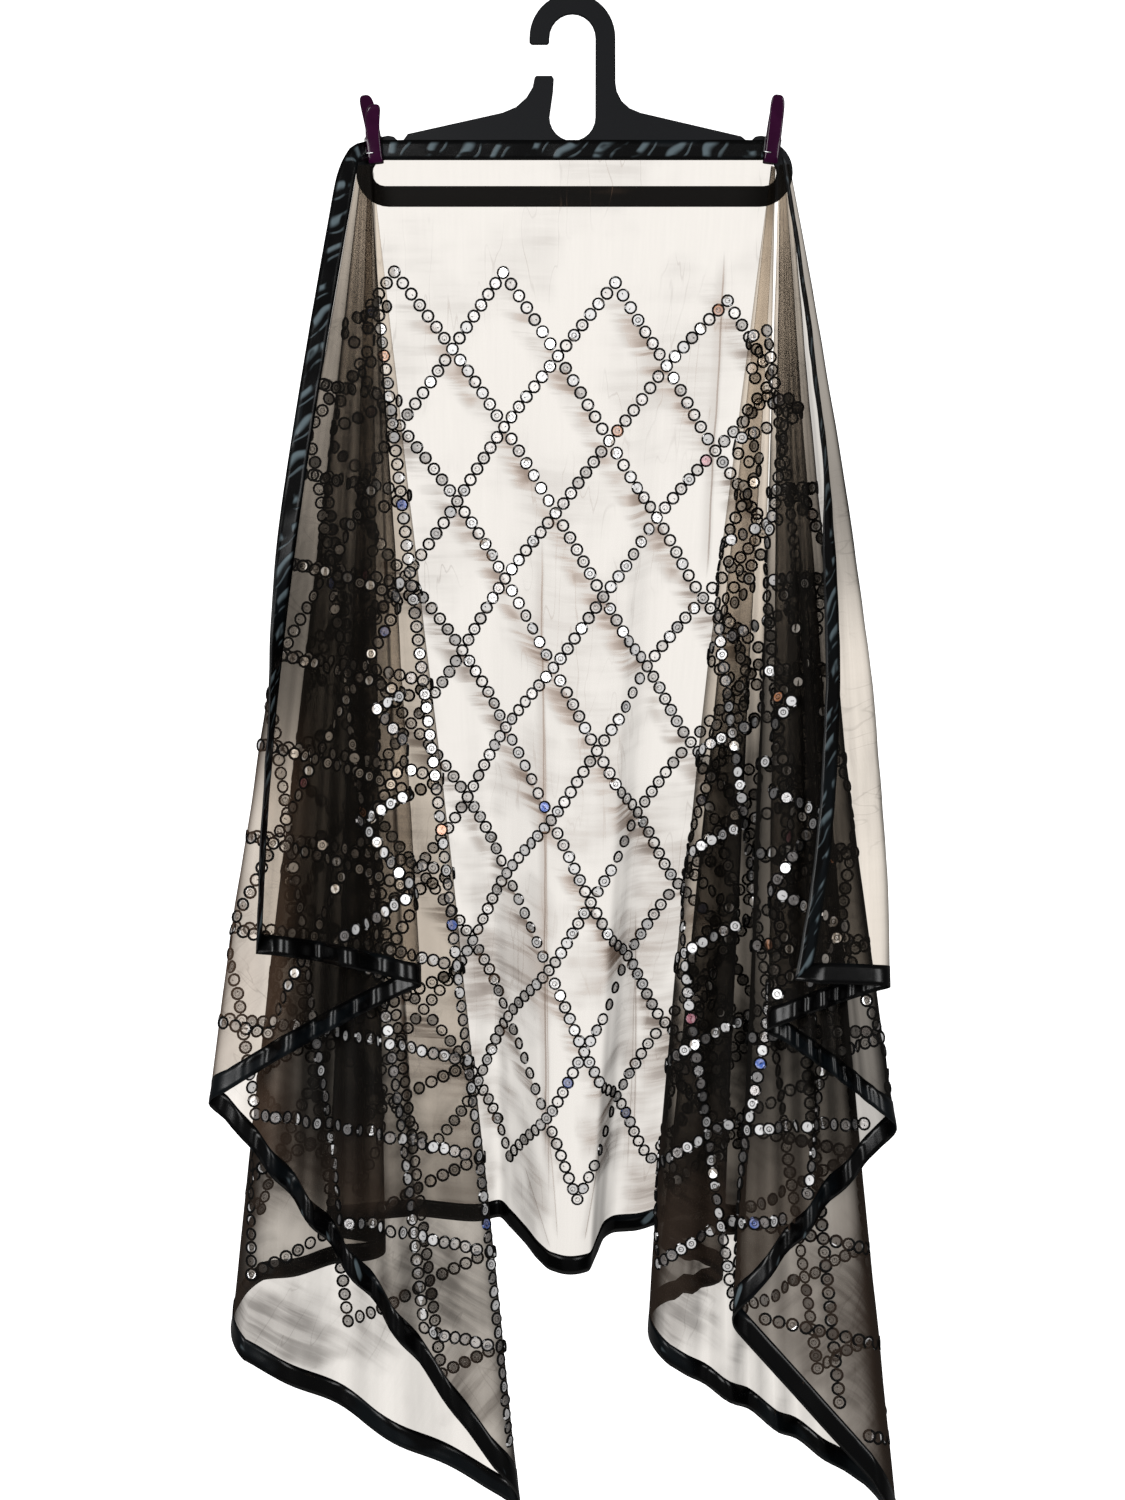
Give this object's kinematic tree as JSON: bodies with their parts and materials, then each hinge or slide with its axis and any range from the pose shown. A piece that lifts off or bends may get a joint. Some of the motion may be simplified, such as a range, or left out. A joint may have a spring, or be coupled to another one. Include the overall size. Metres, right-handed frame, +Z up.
{
  "type": "dupatta stole on a hanger",
  "caption": "Long sheer stole bound in satin ribbon, draped in folds from spring pegs on a flat trouser hanger with an open hook.",
  "frame": {"origin": "the inner top of the hanger's hook, where it rests on a rail", "axes": "+Z up along the hanging stole, +X to the right as seen from the front, the front faces -Y"},
  "size_m": [0.6482, 0.3039, 1.4493],
  "materials": {
    "net": "sheer",
    "ribbon": "satin",
    "hanger_black": "matte",
    "peg_purple": "gloss",
    "spring_wire": "satin"
  },
  "bodies": {
    "root": {"hanger": "hanger_black", "net_centre": "net", "net_left_fall": "net", "net_right_fall": "net", "ribbon_top_centre": "ribbon", "ribbon_top_left": "ribbon", "ribbon_top_right": "ribbon", "ribbon_end_left": "ribbon", "ribbon_end_right": "ribbon", "ribbon_hem_centre": "ribbon", "ribbon_hem_left": "ribbon", "ribbon_hem_right": "ribbon", "peg_left_front": "peg_purple", "peg_left_back": "peg_purple", "peg_left_spring": "spring_wire", "peg_right_front": "peg_purple", "peg_right_back": "peg_purple", "peg_right_spring": "spring_wire"}
  },
  "joints": []
}
